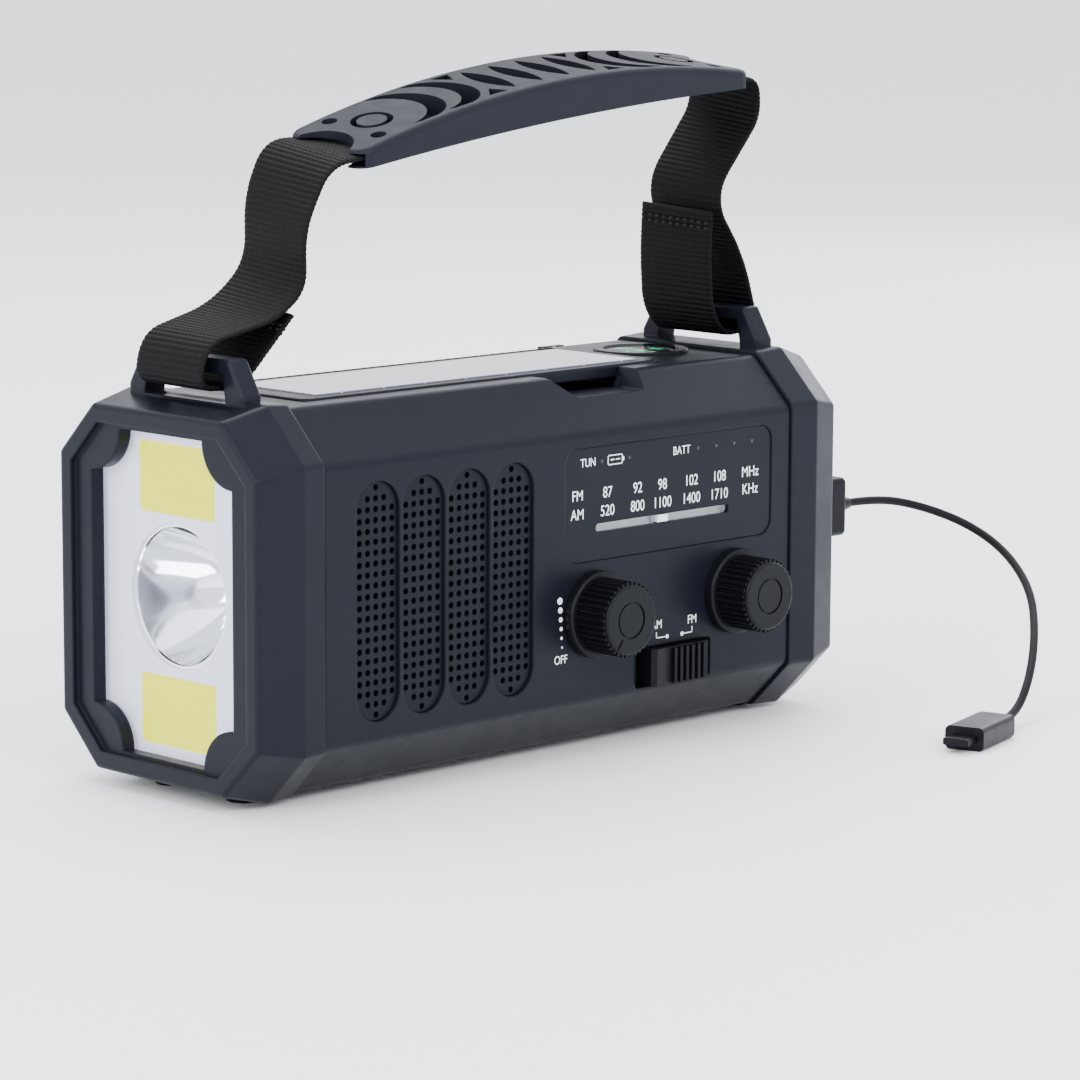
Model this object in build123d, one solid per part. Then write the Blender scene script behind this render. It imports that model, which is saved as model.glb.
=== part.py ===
from build123d import *
import math
import os

# Emergency radio. Millimetres. X runs along the length, from the lamp end (-X) to the port end (+X);
# -Y is the front with the dial and knobs; +Z is up, and Z = 0 is the plane that the feet stand on.

os.makedirs("parts", exist_ok=True)

# ---------------------------------------------------------------- driving dimensions
LENGTH = 198.0                 # between the two end faces
BODY_HALF_LENGTH = 79.2        # the two body shells, between the end caps
BODY = dict(half_depth=36.5, low=2.4, high=93.0, chamfer=12.5)
CAP = dict(half_depth=37.5, low=1.2, high=94.4, chamfer=13.0)
LAMP_FACE = dict(half_depth=35.6, low=4.4, high=91.4, chamfer=12.4)
PORT_FACE = dict(half_depth=34.3, low=4.4, high=91.2, chamfer=11.8)
LAMP_RIDGE_X = 86.2            # where each cap is widest
PORT_RIDGE_X = 88.6
CAP_INNER_X = 79.6             # edge of the caps beside the body
WALL = 2.2
RUN_GAP = 0.3                  # clearance between pieces that move past each other
SHAFT_GAP = 0.08               # radial clearance of a shaft in its hole

FRONT_Y = -BODY["half_depth"]
REAR_Y = BODY["half_depth"]
INNER_FRONT_Y = FRONT_Y + WALL
DECK_Z = BODY["high"]

KNOB_Z = 35.9
VOLUME_X, TUNING_X = 9.0, 58.8
KNOB_HEIGHT, KNOB_RADIUS, KNOB_FLANGE_RADIUS = 12.3, 9.3, 10.8

DIAL_LOW, DIAL_HIGH, DIAL_BACK_Y = (-1.2, 49.1), (72.4, 76.9), -34.9
POINTER_X, POINTER_Z, POINTER_TRAVEL = 33.2, 57.0, 20.0
TUNING_MODULE, TUNING_TEETH = 0.695, 20
PINION_RADIUS = TUNING_MODULE * TUNING_TEETH / 2
RACK_CONTACT_X = TUNING_X - 4 * PINION_RADIUS
MIDDLE_IDLER_X = TUNING_X - 2 * PINION_RADIUS
RACK_Z = KNOB_Z + PINION_RADIUS
RACK_Y, GEAR_Y = (-34.1, -31.6), (-31.3, -28.8)    # layer of the rack, layer of the gears

GRILLE_FIRST_X, GRILLE_PITCH, GRILLE_COUNT = -62.7, 14.6, 4
GRILLE_Z, GRILLE_HEIGHT, GRILLE_WIDTH = 47.5, 56.6, 13.6
HOLE_PITCH, HOLE_RADIUS, HOLE_ROWS = 2.55, 0.78, 22

SWITCH_LOW, SWITCH_HIGH = (23.2, 15.2), (50.4, 25.2)
SWITCH_CAP_LENGTH, SWITCH_CAP_X, SWITCH_TRAVEL = 21.4, 37.9, 3.5

LID_X, LID_Y = (-68.8, 51.4), (-17.5, 17.2)
LID_HINGE_Y, LID_HINGE_Z, LID_BARREL_RADIUS = 19.6, 91.2, 2.2
LID_BOTTOM_Z, LID_TOP_Z = 90.4, 93.5

COMPASS_X, COMPASS_Y = 65.3, 3.0
LUG_X = 87.0
FOOT_RADIUS = 4.0
FOOT_PLACES = [(x, y) for x in (-84.2, 84.2) for y in (-13.0, 13.0)]
LUG_BAR_Z = (101.0, 104.2)

CRANK_X, CRANK_Z, CRANK_RADIUS, CRANK_ARM_Y = -25.0, 44.0, 36.0, (42.6, 48.2)
AERIAL_X, AERIAL_Y, AERIAL_Z = 70.0, 36.4, 87.6
AERIAL_LENGTH = 124.0

GRIP_LENGTH, GRIP_WIDTH = 137.0, 27.0
GRIP_CENTRE = (21.0, 0.0, 156.0)
GRIP_TILT, GRIP_ROLL = 6.3, 8.0
STRAP_WIDTH, STRAP_THICKNESS = 25.0, 1.5

USB_Y, USB_Z = -16.0, 49.0
CABLE_DIAMETER = 2.2


# ---------------------------------------------------------------- shape helpers
def octagon(x, half_depth, low, high, chamfer):
    """Upright rectangle with chamfered corners, in the plane X = x."""
    flat_y = half_depth - chamfer
    points = [
        (half_depth, low + chamfer), (half_depth, high - chamfer), (flat_y, high), (-flat_y, high),
        (-half_depth, high - chamfer), (-half_depth, low + chamfer), (-flat_y, low), (flat_y, low),
    ]
    return Plane.YZ.offset(x) * make_face(Polyline(*points, close=True))


def inset(section, distance):
    """The same octagon with every side moved inwards."""
    return dict(
        half_depth=section["half_depth"] - distance,
        low=section["low"] + distance,
        high=section["high"] - distance,
        chamfer=section["chamfer"] - distance * (2 - math.sqrt(2)),
    )


def prism(x0, x1, section):
    return extrude(octagon(x0, **section), amount=x1 - x0, dir=(1, 0, 0))


def block(low, high):
    """Box between two corners."""
    size = [b - a for a, b in zip(low, high)]
    centre = [(a + b) / 2 for a, b in zip(low, high)]
    return Pos(*centre) * Box(*size)


def rod(start, axis, length, radius):
    """Cylinder from a point along X, Y or Z."""
    turn = {"X": Rot(0, 90, 0), "Y": Rot(-90, 0, 0), "Z": Rot(0, 0, 0)}[axis]
    return Pos(*start) * turn * Cylinder(radius, length, align=(Align.CENTER, Align.CENTER, Align.MIN))


def tube(start, axis, length, outer, inner):
    return rod(start, axis, length, outer) - rod(start, axis, length, inner)


def front_plate(sketch, y_front, y_back):
    """Solid from a sketch drawn in X and Z, between two depths."""
    return extrude(Plane.XZ.offset(-y_front) * sketch, amount=y_back - y_front, dir=(0, 1, 0))


def gear(teeth, module, width, phase, bore):
    """Straight-toothed gear about +Y, its first tooth at an angle of phase from +X towards +Z."""
    pitch_radius = teeth * module / 2
    tip, root = pitch_radius + 0.65 * module, pitch_radius - 0.95 * module
    step = 2 * math.pi / teeth
    points = []
    for tooth in range(teeth):
        centre = math.radians(phase) + tooth * step
        for radius, share in ((root, -0.27), (tip, -0.10), (tip, 0.10), (root, 0.27)):
            angle = centre + share * step
            points.append((radius * math.cos(angle), radius * math.sin(angle)))
    outline = make_face(Polyline(*points, close=True)) - Circle(bore)
    return front_plate(outline, 0, width)


def save(node, shape):
    shape.label = node
    export_step(shape, f"parts/{node}.step")


# ---------------------------------------------------------------- body shells
def body_tube():
    """Hollow octagonal tube with a bulkhead at each end."""
    outer = prism(-BODY_HALF_LENGTH, BODY_HALF_LENGTH, BODY)
    along = outer.edges().filter_by(Axis.X)
    outer = fillet(along, 3.0)
    inner = prism(-BODY_HALF_LENGTH + WALL, BODY_HALF_LENGTH - WALL, inset(BODY, WALL))
    return outer, inner, outer - inner


def lid_opening():
    """The cut through the deck that the solar lid closes."""
    return block((LID_X[0] - 0.4, LID_Y[0] - 0.4, 88.0), (LID_X[1] + 0.4, LID_HINGE_Y + 2.6, 95.0))


def finger_notch():
    """Cut in the deck's front edge that a finger lifts the lid from."""
    outline = make_face(Polyline((3.4, 94.0), (10.6, 88.2), (33.6, 88.2), (36.2, 94.0), close=True))
    return front_plate(outline, -40.0, LID_Y[0] - 0.4)


def stadium(height, width):
    return SlotOverall(height, width, rotation=90)


def grille_centres():
    return [GRILLE_FIRST_X + i * GRILLE_PITCH for i in range(GRILLE_COUNT)]


def screw_places():
    return [(x, z) for x in (-73.8, 73.8) for z in (12.0, 76.0)]


def rounded_window(low, high, radius, grow=0.0):
    width, height = high[0] - low[0] + 2 * grow, high[1] - low[1] + 2 * grow
    centre = ((low[0] + high[0]) / 2, (low[1] + high[1]) / 2)
    return Pos(*centre) * RectangleRounded(width, height, radius + grow)


def make_shells():
    outer, inner, tube_body = body_tube()
    # the floor under the finger notch, inside the deck
    tube_body += block((2.0, -30.0, 86.6), (38.0, LID_Y[0] - 2.05, 92.0)) & outer
    tube_body -= lid_opening() + finger_notch()
    # lamp and socket wiring pass through the bulkheads
    tube_body -= rod((-80.0, 0, 47.9), "X", 5.0, 20.0)
    tube_body -= rod((75.0, 0, 47.9), "X", 5.0, 22.0)
    tube_body -= rod((COMPASS_X, COMPASS_Y, 80.0), "Z", 15.0, 11.0)
    front_half = block((-90, -50, -5), (90, 0, 110))
    rear_half = block((-90, 0, -5), (90, 50, 110))

    front = tube_body & front_half
    for x in grille_centres():
        front -= front_plate(Pos(x, GRILLE_Z) * stadium(GRILLE_HEIGHT, GRILLE_WIDTH), -40, -30)
    front -= front_plate(rounded_window(DIAL_LOW, DIAL_HIGH, 4.0, 0.15), -40, DIAL_BACK_Y)
    front -= front_plate(rounded_window(DIAL_LOW, DIAL_HIGH, 4.0, -2.0), -36, -30)
    switch_well = rounded_window(SWITCH_LOW, SWITCH_HIGH, 1.0)
    front += front_plate(rounded_window(SWITCH_LOW, SWITCH_HIGH, 1.0, 1.6), -34.5, -31.5)
    front -= front_plate(switch_well, -40, -33.2)
    stem_low = (SWITCH_CAP_X - SWITCH_TRAVEL - 4.5, 18.4)
    stem_high = (SWITCH_CAP_X + 4.5, 22.0)
    front -= front_plate(rounded_window(stem_low, stem_high, 0.5), -35, -31)
    for x in (VOLUME_X, TUNING_X):
        front -= rod((x, -40, KNOB_Z), "Y", 10, 3.0 + SHAFT_GAP)
    for x in (RACK_CONTACT_X, MIDDLE_IDLER_X):
        front += rod((x, INNER_FRONT_Y - 0.5, KNOB_Z), "Y", 6.4, 1.2)
    front += rod((MIDDLE_IDLER_X, INNER_FRONT_Y - 0.5, KNOB_Z), "Y", 3.2, 2.2)
    front += rack_guide()
    rear = tube_body & rear_half
    rear -= rod((CRANK_X, 30, CRANK_Z), "Y", 10, 4.0 + SHAFT_GAP)
    rear += tube((CRANK_X, 31.6, CRANK_Z), "Y", 3.0, 7.0, 4.0 + SHAFT_GAP)
    rear += rod((IDLER_X, 23.6, CRANK_Z), "Y", 11.0, 1.4)
    for x in BUTTON_X:
        rear -= rod((x, 30, BUTTON_Z), "Y", 10, 4.5)
    for x, z in screw_places():
        front += rod((x, -36, z), "Y", 35.8, 3.4) & inner
        front -= rod((x, -14, z), "Y", 15.0, 1.2)
        rear += rod((x, 0, z), "Y", 36, 4.5) & outer
        rear -= rod((x, 8, z), "Y", 40, 3.1)
        rear -= rod((x, -1, z), "Y", 12, 1.6)
    save("front_shell", front)
    save("rear_shell", rear)


def rack_guide():
    """Rail above the pointer's rack, held off the shell at its two ends so the pointer's arm can pass."""
    low = RACK_Z + 3.15
    rail = block((-10.4, -33.3, low), (75.2, -31.4, low + 1.4))
    for x in (-10.4, 73.8):
        rail += block((x, INNER_FRONT_Y - 0.5, low), (x + 1.4, -33.2, low + 1.4))
    return rail


def make_screws():
    """Four self-tapping screws, deep in the rear shell's counterbores."""
    screws = []
    for x, z in screw_places():
        screw = rod((x, 8.0, z), "Y", 2.2, 2.8) + rod((x, -12.0, z), "Y", 20.5, 1.2)
        screw -= block((x - 1.7, 9.2, z - 0.35), (x + 1.7, 11.0, z + 0.35))
        screw -= block((x - 0.35, 9.2, z - 1.7), (x + 0.35, 11.0, z + 1.7))
        screws.append(screw)
    save("screws", Compound(children=screws))


def make_feet():
    feet = []
    for x, y in FOOT_PLACES:
        foot = rod((x, y, 0), "Z", 2.2, FOOT_RADIUS)
        feet.append(fillet(foot.edges().group_by(Axis.Z)[0], 0.5))
    save("feet", Compound(children=feet))


# ---------------------------------------------------------------- end caps
def lug(x):
    """Trapezoidal loop on top of a cap that the strap passes through."""
    outline = Polyline((-20.5, 92.0), (-20.5, 96.0), (-15.6, LUG_BAR_Z[1]), (15.6, LUG_BAR_Z[1]),
                       (20.5, 96.0), (20.5, 92.0), close=True)
    window = Polyline((-14.6, 94.0), (-13.4, LUG_BAR_Z[0]), (13.4, LUG_BAR_Z[0]), (14.6, 94.0), close=True)
    plane = Plane.YZ.offset(x - 3.0)
    loop = extrude(plane * make_face(outline), amount=6.0, dir=(1, 0, 0))
    loop = fillet(loop.edges().filter_by(lambda e: e.center().Z > 93.0), 0.9)
    return loop - extrude(plane * make_face(window), amount=6.0, dir=(1, 0, 0))


def cap_outside(face, side, ridge_x):
    """Outer form of an end cap: side is -1 at the lamp end and +1 at the port end."""
    end, ridge, inner = side * LENGTH / 2, side * ridge_x, side * CAP_INNER_X
    flange = inset(CAP, 0.5)
    nose = loft([octagon(end, **face), octagon(ridge, **CAP)], ruled=True)
    skirt = loft([octagon(ridge, **CAP), octagon(inner, **flange)], ruled=True)
    shape = nose + skirt
    lengthways = shape.edges().filter_by(lambda e: abs(e.tangent_at(0.5).X) > 0.5)
    shape = fillet(lengthways, 2.0)
    end_rim = shape.edges().filter_by(lambda e: abs(e.center().X - end) < 0.01)
    return fillet(end_rim, 1.2)


def lamp_opening():
    """Rectangle with a rounded screw boss bulging into each corner, drawn in Y and Z."""
    half_y, low, high, boss = 25.3, 9.4, 86.2, 10.5
    outline = Pos(0, (low + high) / 2) * Rectangle(2 * half_y, high - low)
    for y in (-half_y, half_y):
        for z in (low, high):
            outline -= Pos(y, z) * Circle(boss)
    return outline


def make_lamp_cap():
    end = -LENGTH / 2
    shape = cap_outside(LAMP_FACE, -1, LAMP_RIDGE_X)
    lip = prism(end - 1, end + 1.5, inset(LAMP_FACE, 4.2))
    opening = extrude(Plane.YZ.offset(end - 1) * lamp_opening(), amount=10, dir=(1, 0, 0))
    cavity = prism(-94.0, -79.0, inset(LAMP_FACE, 2.6))
    shape = shape - lip - opening - cavity + lug(-LUG_X)
    foot_seats = [rod((x, y, 0), "Z", 2.2, FOOT_RADIUS) for x, y in FOOT_PLACES]
    save("lamp_cap", shape - foot_seats)


def make_port_cap():
    shape = cap_outside(PORT_FACE, 1, PORT_RIDGE_X)
    cavity = prism(79.0, PORT_WALL_X[0], inset(PORT_FACE, 2.4))
    rim = prism(PORT_WALL_X[1], LENGTH / 2 + 1, inset(PORT_FACE, 5.0))
    shape = shape - cavity - rim + lug(LUG_X)
    # the USB socket's mouth, and the recess and sockets under the rubber cover
    shape -= block((90, USB_Y - 3.2, USB_Z - 7.0), (100, USB_Y + 3.2, USB_Z + 7.0))
    shape -= block((95.8, COVER_Y[0], COVER_Z[0]), (100, COVER_Y[1], COVER_Z[1]))
    shape -= block((93, COVER_MID_Y - 1.7, 47.0), (97, COVER_MID_Y + 1.7, 56.0))
    shape -= rod((93, COVER_MID_Y, 38.5), "X", 3, 2.6)
    shape += rod((COVER_PIN[0], COVER_Y[0] - 1, COVER_PIN[1]), "Y", COVER_Y[1] - COVER_Y[0] + 2, 0.5)
    foot_seats = [rod((x, y, 0), "Z", 2.2, FOOT_RADIUS) for x, y in FOOT_PLACES]
    save("port_cap", shape - foot_seats)


PORT_WALL_X = (94.0, 98.0)
COVER_Y, COVER_Z, COVER_MID_Y = (4.0, 20.0), (30.0, 62.0), 12.0
COVER_PIN = (97.2, 31.6)


def make_port_cover():
    """Rubber flap over the charging and earphone sockets, hinged along its lower edge."""
    gap = 0.35
    low_y, high_y = COVER_Y[0] + gap, COVER_Y[1] - gap
    flap = block((96.1, low_y, COVER_PIN[1] + 1.2), (98.0, high_y, COVER_Z[1] - gap))
    flap = fillet(flap.edges().filter_by(Axis.X).group_by(Axis.Z)[-1], 1.6)
    flap -= block((97.4, 8.0, 58.6), (98.5, 16.0, 60.2))
    barrel = rod((COVER_PIN[0], low_y, COVER_PIN[1]), "Y", high_y - low_y, 1.2)
    neck = block((96.4, low_y, COVER_PIN[1]), (98.0, high_y, COVER_PIN[1] + 1.6))
    pin_hole = rod((COVER_PIN[0], 0, COVER_PIN[1]), "Y", 30, 0.5 + SHAFT_GAP)
    save("port_cover", flap + barrel + neck - pin_hole)


def make_sockets():
    shell = block((79.5, USB_Y - 2.9, USB_Z - 6.7), (93.9, USB_Y + 2.9, USB_Z + 6.7))
    mouth = block((81.0, USB_Y - 2.55, USB_Z - 6.3), (96.0, USB_Y + 2.55, USB_Z + 6.3))
    tongue = block((80.0, USB_Y - 1.3, USB_Z - 5.2), (92.0, USB_Y + 0.2, USB_Z + 5.2))
    save("usb_socket", shell - mouth + tongue)


# ---------------------------------------------------------------- lamps
PANEL = inset(LAMP_FACE, 3.0)
LENS_X = (-93.9, -92.7)
PANEL_X = (-92.5, -91.1)
LAMP_Z = 47.6
COB_HALF_WIDTH = 13.6
COB_UPPER_Z, COB_LOWER_Z = (66.6, 83.4), (11.4, 28.2)


def make_lamps():
    save("lamp_lens", prism(*LENS_X, PANEL))
    panel = prism(*PANEL_X, PANEL)
    panel -= rod((-95, 0, LAMP_Z), "X", 5, 17.2)
    lamps = []
    for low, high in (COB_UPPER_Z, COB_LOWER_Z):
        lamp = block((-92.3, -COB_HALF_WIDTH, low), (-90.5, COB_HALF_WIDTH, high))
        lamps.append(fillet(lamp.edges().filter_by(Axis.X), 1.5))
        panel -= block((-93, -COB_HALF_WIDTH, low), (-90, COB_HALF_WIDTH, high))
    save("cob_lamps", Compound(children=lamps))
    save("lamp_panel", panel)

    depth, throat, rim = 19.0, 3.2, 16.4
    steps = 10
    inner_curve = [(rim - (rim - throat) * i / steps, 0) for i in range(steps + 1)]
    inner_curve = [(r, depth * (rim ** 2 - r ** 2) / (rim ** 2 - throat ** 2)) for r, _ in inner_curve]
    outer_curve = [(r + 0.7, x) for r, x in reversed(inner_curve)]
    section = make_face(Polyline(*inner_curve, *outer_curve, close=True))
    bowl = revolve(section, Axis.Y)
    bowl = Pos(-91.0, 0, LAMP_Z) * Rot(0, 0, -90) * bowl
    save("reflector", bowl + tube((-91.9, 0, LAMP_Z), "X", 1.0, rim + 0.7, rim))
    led = rod((-71.8, 0, LAMP_Z), "X", 1.6, 8.0) + rod((-74.4, 0, LAMP_Z), "X", 3.0, 2.6)
    save("spot_led", led)


# ---------------------------------------------------------------- front controls
def make_grille():
    """Speaker grille: one plate whose four perforated pads fill the shell's windows."""
    plate = block((-70.0, INNER_FRONT_Y + 0.05, 17.5), (-11.6, -32.8, 77.5))
    grille = plate
    holes = Sketch()
    pad = stadium(GRILLE_HEIGHT - 0.3, GRILLE_WIDTH - 0.3)
    for x in grille_centres():
        grille += front_plate(Pos(x, GRILLE_Z) * pad, -35.6, -34.0)
        for row in range(HOLE_ROWS):
            edge = min(row, HOLE_ROWS - 1 - row)
            across = {0: 1, 1: 3}.get(edge, 5)
            z = GRILLE_Z + (row - (HOLE_ROWS - 1) / 2) * HOLE_PITCH
            places = [(x + (i - (across - 1) / 2) * HOLE_PITCH, z) for i in range(across)]
            holes += [Pos(*place) * Circle(HOLE_RADIUS) for place in places]
    save("speaker_grille", grille - front_plate(holes, -36, -32))


def make_speaker():
    x = GRILLE_FIRST_X + 1.5 * GRILLE_PITCH
    frame = tube((x, -32.6, GRILLE_Z), "Y", 3.0, 26.0, 22.0)
    frame += tube((x, -29.6, GRILLE_Z), "Y", 6.0, 22.6, 20.6)
    frame += tube((x, -23.6, GRILLE_Z), "Y", 1.5, 22.6, 6.0)
    frame += rod((x, -22.1, GRILLE_Z), "Y", 8.0, 14.0)
    cone = tube((x, -31.2, GRILLE_Z), "Y", 0.8, 21.8, 7.0)
    cone += rod((x, -31.2, GRILLE_Z), "Y", 1.6, 7.0)
    save("speaker", Compound(children=[frame, cone]))


def make_dial():
    outline = rounded_window(DIAL_LOW, DIAL_HIGH, 4.0)
    plate = front_plate(outline, -36.15, DIAL_BACK_Y - 0.05)
    slot_low = (POINTER_X - POINTER_TRAVEL - 3.8, POINTER_Z - 1.05)
    slot_high = (POINTER_X + POINTER_TRAVEL + 3.8, POINTER_Z + 1.05)
    plate -= front_plate(rounded_window(slot_low, slot_high, 1.0), -37, -34)
    save("dial_plate", plate)
    strip = block((slot_low[0] - 2, -33.1, POINTER_Z - 2.2), (slot_high[0] + 2, -32.7, POINTER_Z + 2.2))
    for x in (slot_low[0] - 2, slot_high[0] + 0.6):
        strip += block((x, -34.9, POINTER_Z - 1.5), (x + 1.4, -33.0, POINTER_Z + 1.5))
    save("dial_strip", strip)


def knob(x, indicator_angle):
    """Fluted knob with a smooth flange, a shallow ring on its face and a shaft behind it."""
    base_y = FRONT_Y - 0.2
    flange = rod((x, base_y - 2.6, KNOB_Z), "Y", 2.6, KNOB_FLANGE_RADIUS)
    flange = fillet(flange.edges().group_by(Axis.Y)[0], 0.8)
    flutes = 36
    points = []
    for i in range(flutes * 2):
        radius = KNOB_RADIUS if i % 2 else KNOB_RADIUS - 0.75
        for share in (-0.28, 0.28):
            angle = (i + share) * math.pi / flutes
            points.append((x + radius * math.cos(angle), KNOB_Z + radius * math.sin(angle)))
    face_y = base_y - KNOB_HEIGHT
    body = front_plate(make_face(Polyline(*points, close=True)), face_y + 0.7, base_y - 2.0)
    cap_edge = rod((x, face_y, KNOB_Z), "Y", 1.4, KNOB_RADIUS - 0.75)
    cap_edge = fillet(cap_edge.edges().group_by(Axis.Y)[0], 0.6)
    shape = flange + body + cap_edge
    shape -= rod((x, face_y - 1, KNOB_Z), "Y", 1.45, 4.6)
    shape += rod((x, face_y + 0.12, KNOB_Z), "Y", 1.0, 4.1)
    if indicator_angle is not None:
        mark = block((5.4, face_y - 1, -0.3), (8.2, face_y + 0.3, 0.3))
        shape -= Pos(x, 0, KNOB_Z) * Rot(0, -indicator_angle, 0) * mark
    return shape + rod((x, base_y - 0.2, KNOB_Z), "Y", 10.0, 3.0)


def make_knobs():
    save("volume_knob", knob(VOLUME_X, 235.0))
    control = rod((VOLUME_X, -31.0, KNOB_Z), "Y", 8.0, 8.0)
    control -= rod((VOLUME_X, -32.0, KNOB_Z), "Y", 6.0, 3.0 + SHAFT_GAP)
    control += tube((VOLUME_X, INNER_FRONT_Y, KNOB_Z), "Y", 3.4, 4.6, 3.0 + SHAFT_GAP)
    control += block((1.0, -31.0, 26.0), (17.0, -29.4, 36.0)) - rod((VOLUME_X, -34.0, KNOB_Z), "Y", 8.0, 3.08)
    save("volume_control", control)
    save("tuning_knob", knob(TUNING_X, None))


def make_tuning_drive():
    """Pinion on the tuning shaft, two idlers, the pointer's rack and the capacitor's gear."""
    width = GEAR_Y[1] - GEAR_Y[0]
    tooth_angle = 360 / TUNING_TEETH
    loose_bore = 1.2 + SHAFT_GAP
    pinion = gear(TUNING_TEETH, TUNING_MODULE, width, 180, 3.0)
    save("tuning_pinion", Pos(TUNING_X, GEAR_Y[0], KNOB_Z) * pinion)
    idler = gear(TUNING_TEETH, TUNING_MODULE, width, tooth_angle / 2, loose_bore)
    save("idler_gear_right", Pos(MIDDLE_IDLER_X, GEAR_Y[0], KNOB_Z) * idler)
    wide_idler = gear(TUNING_TEETH, TUNING_MODULE, GEAR_Y[1] - RACK_Y[0], 0, loose_bore)
    save("idler_gear_left", Pos(RACK_CONTACT_X, RACK_Y[0], KNOB_Z) * wide_idler)

    big_teeth = 2 * TUNING_TEETH
    capacitor_z = KNOB_Z + 3 * PINION_RADIUS
    wheel = gear(big_teeth, TUNING_MODULE, width, -90 + 180 / big_teeth, 2.0)
    wheel = Pos(TUNING_X, GEAR_Y[0], capacitor_z) * wheel
    save("capacitor_gear", wheel + rod((TUNING_X, GEAR_Y[0], capacitor_z), "Y", 6.0, 2.0))
    capacitor = block((TUNING_X - 10, -28.2, capacitor_z - 10), (TUNING_X + 10, -15.2, capacitor_z + 10))
    capacitor -= rod((TUNING_X, -29, capacitor_z), "Y", 4.2, 2.0 + SHAFT_GAP)
    save("tuning_capacitor", capacitor)

    pitch = math.pi * TUNING_MODULE
    half = POINTER_TRAVEL + 1.6
    bar = block((RACK_CONTACT_X - half, RACK_Y[0], RACK_Z + 0.7),
                (RACK_CONTACT_X + half, RACK_Y[1], RACK_Z + 3.0))
    tooth = Polyline((-0.27 * pitch, RACK_Z + 0.8), (-0.10 * pitch, RACK_Z - 0.42),
                     (0.10 * pitch, RACK_Z - 0.42), (0.27 * pitch, RACK_Z + 0.8), close=True)
    tooth = front_plate(make_face(tooth), *RACK_Y)
    teeth_each_side = int(half / pitch)
    for i in range(-teeth_each_side, teeth_each_side):
        bar += Pos(RACK_CONTACT_X + (i + 0.5) * pitch, 0, 0) * tooth
    left, right = POINTER_X - 1.8, POINTER_X + 1.8
    arm = block((left, RACK_Y[0], RACK_Z + 1.0), (right, -33.5, POINTER_Z + 0.9))
    pointer = block((left, -36.0, POINTER_Z - 0.9), (right, -33.5, POINTER_Z + 0.9))
    save("pointer_carriage", bar + arm + pointer)


def make_band_switch():
    low_z, high_z = SWITCH_LOW[1] + RUN_GAP, SWITCH_HIGH[1] - RUN_GAP
    left = SWITCH_CAP_X - SWITCH_CAP_LENGTH / 2
    right = left + SWITCH_CAP_LENGTH
    outline = make_face(Polyline((left, -33.5), (left, -38.2), (left + 1.0, -39.4), (left + 5.5, -38.8),
                                 (right - 1.6, -38.8), (right, -37.4), (right, -33.5), close=True))
    cap = extrude(Plane.XY.offset(low_z) * outline, amount=high_z - low_z, dir=(0, 0, 1))
    for i in range(6):
        x = left + 7.4 + i * 2.1
        cap += block((x - 0.5, -39.7, low_z + 0.3), (x + 0.5, -38.5, high_z - 0.3))
    cap += block((SWITCH_CAP_X - 4.0, -33.6, 18.9), (SWITCH_CAP_X + 4.0, -30.6, 21.5))
    save("band_switch_cap", cap)
    body = block((SWITCH_CAP_X - 12.0, -31.2, 16.6), (SWITCH_CAP_X + 9.0, -25.0, 24.0))
    body -= block((SWITCH_CAP_X - 8.5, -32.0, 18.4), (SWITCH_CAP_X + 5.0, -30.0, 22.0))
    save("band_switch_body", body)


# ---------------------------------------------------------------- deck: lid and compass
def make_lid():
    x0, x1 = LID_X
    rim = block((x0 - 2.0, LID_Y[0] - 2.0, 84.4), (x1 + 1.4, LID_HINGE_Y + 3.3, DECK_Z - WALL))
    tray = rim - block((x0 - 0.4, LID_Y[0] - 0.4, 85.8), (x1 + 0.4, LID_HINGE_Y + 2.6, 95.0))
    tray -= finger_notch()
    for x in (-42.0, 30.0):
        tray += block((x - 2, 3.0, 70.5), (x + 2, 13.0, 84.6)) - rod((x - 3, 8.0, 76.0), "X", 6, 4.05)
    barrel_ends = (-41.0, 24.0)
    tray += rod((barrel_ends[0], LID_HINGE_Y, LID_HINGE_Z), "X", barrel_ends[1] - barrel_ends[0], 2.0)
    tray += block((barrel_ends[0], LID_HINGE_Y - 0.4, 85.0), (barrel_ends[1], LID_HINGE_Y + 2.4, 90.6))
    tray -= rod((-70, LID_HINGE_Y, LID_HINGE_Z), "X", 130, 1.0)
    save("lid_tray", tray)
    save("hinge_pin", rod((-60.0, LID_HINGE_Y, LID_HINGE_Z), "X", 104.0, 1.0))

    lid = block((x0, LID_Y[0], LID_BOTTOM_Z), (x1, LID_Y[1], LID_TOP_Z))
    lid = fillet(lid.edges().filter_by(Axis.Z).group_by(Axis.Y)[0], 3.0)
    lid = fillet(lid.faces().sort_by(Axis.Z)[-1].edges().group_by(Axis.Y)[0], 0.6)
    for start, end in ((-60.0, -41.4), (24.4, 44.0)):
        lid += block((start, LID_Y[1] - 1.0, LID_BOTTOM_Z), (end, LID_HINGE_Y, LID_TOP_Z - 0.3))
        lid += rod((start, LID_HINGE_Y, LID_HINGE_Z), "X", end - start, 2.0)
        lid -= rod((start - 1, LID_HINGE_Y, LID_HINGE_Z), "X", end - start + 2, 1.0 + SHAFT_GAP)
    cell_low, cell_high = (x0 + 6.6, LID_Y[0] + 3.2), (x1 - 5.0, LID_Y[1] - 2.2)
    lid -= block((*cell_low, LID_TOP_Z - 0.9), (*cell_high, LID_TOP_Z + 1))
    save("solar_lid", lid)
    cell = block((cell_low[0] + 0.1, cell_low[1] + 0.1, LID_TOP_Z - 0.9),
                 (cell_high[0] - 0.1, cell_high[1] - 0.1, LID_TOP_Z + 0.3))
    save("solar_cell", chamfer(cell.faces().sort_by(Axis.Z)[-1].edges(), 0.25))
    save("reading_lamp", block((-50.0, -7.5, 88.9), (32.0, 10.5, LID_BOTTOM_Z)))


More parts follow.
